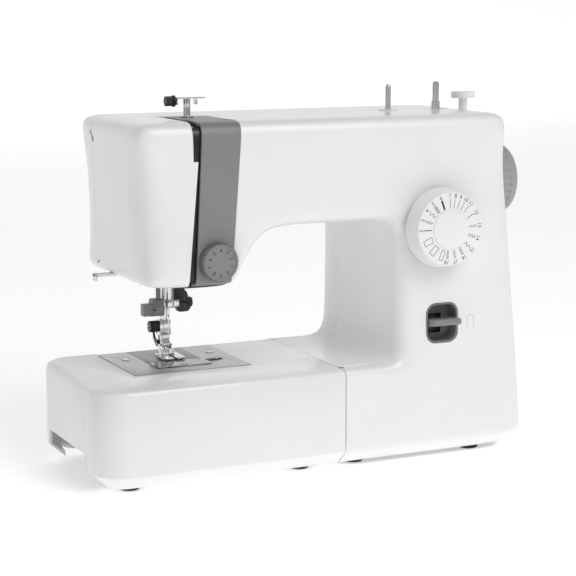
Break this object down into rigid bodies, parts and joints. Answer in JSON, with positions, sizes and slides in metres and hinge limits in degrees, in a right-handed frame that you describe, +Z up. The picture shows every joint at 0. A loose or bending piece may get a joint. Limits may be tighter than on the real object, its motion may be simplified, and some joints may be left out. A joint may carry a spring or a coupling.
{
  "type": "sewing machine",
  "caption": "Free-arm household sewing machine with a lift-off extension table, stitch and tension dials, reverse lever, handwheel, presser foot and a top bobbin winder.",
  "frame": {"origin": "bottom centre of the whole machine's box, on the table the feet stand on", "axes": "+X along the length to the operator's right, towards the handwheel; -Y towards the operator; +Z up"},
  "size_m": [0.4204, 0.1794, 0.321],
  "materials": {
    "shell_white": "satin white moulded plastic",
    "dial_white": "satin",
    "grey_plastic": "satin mid grey",
    "wheel_grey": "satin light grey",
    "black_plastic": "satin black",
    "dark_plastic": "matt dark grey",
    "rubber": "matt",
    "plate_steel": "brushed",
    "insert_steel": "brushed, dark",
    "bright_steel": "polished",
    "shaft_steel": "ground",
    "frame_alloy": "cast",
    "bush_bronze": "sintered",
    "motor_steel": "satin",
    "cam_nylon": "natural",
    "clear_cover": "clear",
    "lens": "frosted"
  },
  "bodies": {
    "machine": {"base_plate": "motor_steel", "rubber_feet": "rubber", "front_cover": "shell_white", "rear_cover": "shell_white", "face_cover": "shell_white", "free_arm_cover": "shell_white", "thread_channel": "black_plastic", "thread_cover": "grey_plastic", "needle_plate": "plate_steel", "feed_insert": "insert_steel", "plate_screws": "bright_steel", "chassis_frame": "frame_alloy", "shaft_bushes": "bush_bronze", "bar_bushes": "bush_bronze", "drive_motor": "motor_steel", "timing_belt": "rubber", "motor_belt": "rubber", "bobbin_case": "dark_plastic", "lever_recess": "dark_plastic", "spool_pin_bush": "shell_white", "winder_stop": "dial_white", "thread_guide": "bright_steel", "power_inlet": "black_plastic", "work_lamp": "lens", "cover_screws": "bright_steel", "thread_cutter": "shell_white", "tension_discs": "bright_steel"},
    "table": {"extension_table": "shell_white", "table_feet": "rubber"},
    "wheel": {"handwheel": "wheel_grey", "main_shaft": "shaft_steel"},
    "link": {"crank_link": "shaft_steel"},
    "lower_drive": {"lower_shaft": "shaft_steel"},
    "hook": {"rotary_hook": "shaft_steel"},
    "motor_rotor": {"motor_pulley": "shaft_steel"},
    "cams": {"cam_stack": "cam_nylon"},
    "bobbin_body": {"bobbin": "clear_cover"},
    "needle_slide": {"needle_bar": "bright_steel", "needle_clamp": "bright_steel", "needle": "bright_steel"},
    "clamp_knob": {"clamp_screw": "black_plastic"},
    "lifter": {"presser_lifter": "dark_plastic"},
    "presser": {"presser_bar": "bright_steel", "foot_holder": "bright_steel", "presser_spring": "shaft_steel"},
    "foot": {"presser_foot": "bright_steel"},
    "foot_knob": {"foot_screw": "black_plastic"},
    "foot_release": {"foot_release_lever": "black_plastic"},
    "take_up": {"take_up_lever": "bright_steel"},
    "feed": {"feed_dog": "shaft_steel"},
    "pattern_dial": {"stitch_dial": "dial_white"},
    "thread_dial": {"tension_dial": "grey_plastic"},
    "reverse": {"reverse_lever": "grey_plastic"},
    "spool": {"spool_pin": "bright_steel"},
    "winder": {"winder_spindle": "bright_steel"},
    "hook_cover": {"bobbin_cover": "clear_cover"},
    "release_button": {"cover_release": "black_plastic"},
    "switch": {"power_switch": "black_plastic"},
    "threader": {"needle_threader": "grey_plastic"},
    "guide_nut": {"pretension_knob": "dark_plastic"}
  },
  "joints": [
    {"name": "table_slide", "type": "slide", "parent": "machine", "child": "table", "axis": [-1, 0, 0], "range_m": [0, 0.175]},
    {"name": "handwheel_spin", "type": "hinge", "parent": "machine", "child": "wheel", "pos_m": [0.19, 0.016, 0.232], "axis": [1, 0, 0], "continuous": true},
    {"name": "crank_link_spin", "type": "hinge", "parent": "wheel", "child": "link", "pos_m": [-0.1, 0.016, 0.247], "axis": [1, 0, 0], "continuous": true},
    {"name": "lower_shaft_spin", "type": "hinge", "parent": "machine", "child": "lower_drive", "pos_m": [0, 0.03, 0.048], "axis": [1, 0, 0], "continuous": true},
    {"name": "hook_spin", "type": "hinge", "parent": "machine", "child": "hook", "pos_m": [-0.1085, 0.016, 0.06], "axis": [0, 0, 1], "continuous": true},
    {"name": "motor_spin", "type": "hinge", "parent": "machine", "child": "motor_rotor", "pos_m": [0.1, -0.028, 0.05], "axis": [1, 0, 0], "continuous": true},
    {"name": "cam_spin", "type": "hinge", "parent": "machine", "child": "cams", "pos_m": [0.0945, 0, 0.203], "axis": [0, 1, 0], "continuous": true},
    {"name": "bobbin_spin", "type": "hinge", "parent": "machine", "child": "bobbin_body", "pos_m": [-0.1085, 0.016, 0.066], "axis": [0, 0, 1], "continuous": true},
    {"name": "needle_bar_slide", "type": "slide", "parent": "machine", "child": "needle_slide", "axis": [0, 0, -1], "range_m": [0, 0.028]},
    {"name": "clamp_screw_turn", "type": "hinge", "parent": "needle_slide", "child": "clamp_knob", "pos_m": [-0.09, 0.041, 0.135], "axis": [1, 0, 0], "range_deg": [0, 360]},
    {"name": "presser_lifter_turn", "type": "hinge", "parent": "machine", "child": "lifter", "pos_m": [-0.0952, 0.057, 0.1725], "axis": [1, 0, 0], "range_deg": [0, 45]},
    {"name": "presser_slide", "type": "slide", "parent": "machine", "child": "presser", "axis": [0, 0, 1], "range_m": [0, 0.007], "deforming": ["presser_spring"]},
    {"name": "foot_tilt", "type": "hinge", "parent": "presser", "child": "foot", "pos_m": [-0.1085, 0.05, 0.0955], "axis": [-1, 0, 0], "range_deg": [0, 8]},
    {"name": "foot_screw_turn", "type": "hinge", "parent": "presser", "child": "foot_knob", "pos_m": [-0.118, 0.053, 0.1135], "axis": [1, 0, 0], "range_deg": [-180, 180]},
    {"name": "foot_release_press", "type": "hinge", "parent": "presser", "child": "foot_release", "pos_m": [-0.1125, 0.0562, 0.0974], "axis": [1, 0, 0], "range_deg": [0, 10], "stiffness_Nm_per_rad": 0.02, "springref_deg": -17.19},
    {"name": "take_up_swing", "type": "hinge", "parent": "machine", "child": "take_up", "pos_m": [-0.12, -0.002, 0.251], "axis": [1, 0, 0], "range_deg": [-8, 22]},
    {"name": "feed_slide", "type": "slide", "parent": "machine", "child": "feed", "axis": [0, 1, 0], "range_m": [-0.002, 0.002]},
    {"name": "stitch_dial_turn", "type": "hinge", "parent": "machine", "child": "pattern_dial", "pos_m": [0.0945, -0.08, 0.203], "axis": [0, 1, 0], "continuous": true},
    {"name": "tension_dial_turn", "type": "hinge", "parent": "machine", "child": "thread_dial", "pos_m": [-0.109, -0.073, 0.186], "axis": [0, 1, 0], "range_deg": [-150, 150]},
    {"name": "reverse_press", "type": "hinge", "parent": "machine", "child": "reverse", "pos_m": [0.0987, -0.0445, 0.12], "axis": [1, 0, 0], "range_deg": [0, 14], "stiffness_Nm_per_rad": 0.15, "springref_deg": -17.19},
    {"name": "spool_pin_pull", "type": "slide", "parent": "machine", "child": "spool", "axis": [0, 0, 1], "range_m": [0, 0.025]},
    {"name": "winder_shift", "type": "slide", "parent": "machine", "child": "winder", "axis": [1, 0, 0], "range_m": [0, 0.007]},
    {"name": "hook_cover_slide", "type": "slide", "parent": "machine", "child": "hook_cover", "axis": [0, -1, 0], "range_m": [0, 0.027]},
    {"name": "cover_release_push", "type": "slide", "parent": "machine", "child": "release_button", "axis": [1, 0, 0], "range_m": [0, 0.003], "stiffness_N_per_m": 100, "springref_m": -0.002},
    {"name": "power_switch_rock", "type": "hinge", "parent": "machine", "child": "switch", "pos_m": [0.1824, 0.0255, 0.06], "axis": [0, 1, 0], "range_deg": [0, 14]},
    {"name": "threader_pull", "type": "slide", "parent": "machine", "child": "threader", "axis": [0, 0, -1], "range_m": [0, 0.015], "stiffness_N_per_m": 60, "springref_m": -0.006},
    {"name": "guide_nut_turn", "type": "hinge", "parent": "machine", "child": "guide_nut", "pos_m": [-0.12, 0, 0.3104], "axis": [1, 0, 0], "range_deg": [-180, 180]}
  ],
  "couplings": [
    {"joint": "crank_link_spin", "follows": "handwheel_spin", "ratio": -1},
    {"joint": "lower_shaft_spin", "follows": "handwheel_spin", "ratio": 1},
    {"joint": "hook_spin", "follows": "handwheel_spin", "ratio": -1},
    {"joint": "motor_spin", "follows": "handwheel_spin", "ratio": 3.4286},
    {"joint": "cam_spin", "follows": "handwheel_spin", "ratio": 0.025},
    {"joint": "presser_lifter_turn", "follows": "presser_slide", "rad_per_m": 112}
  ]
}
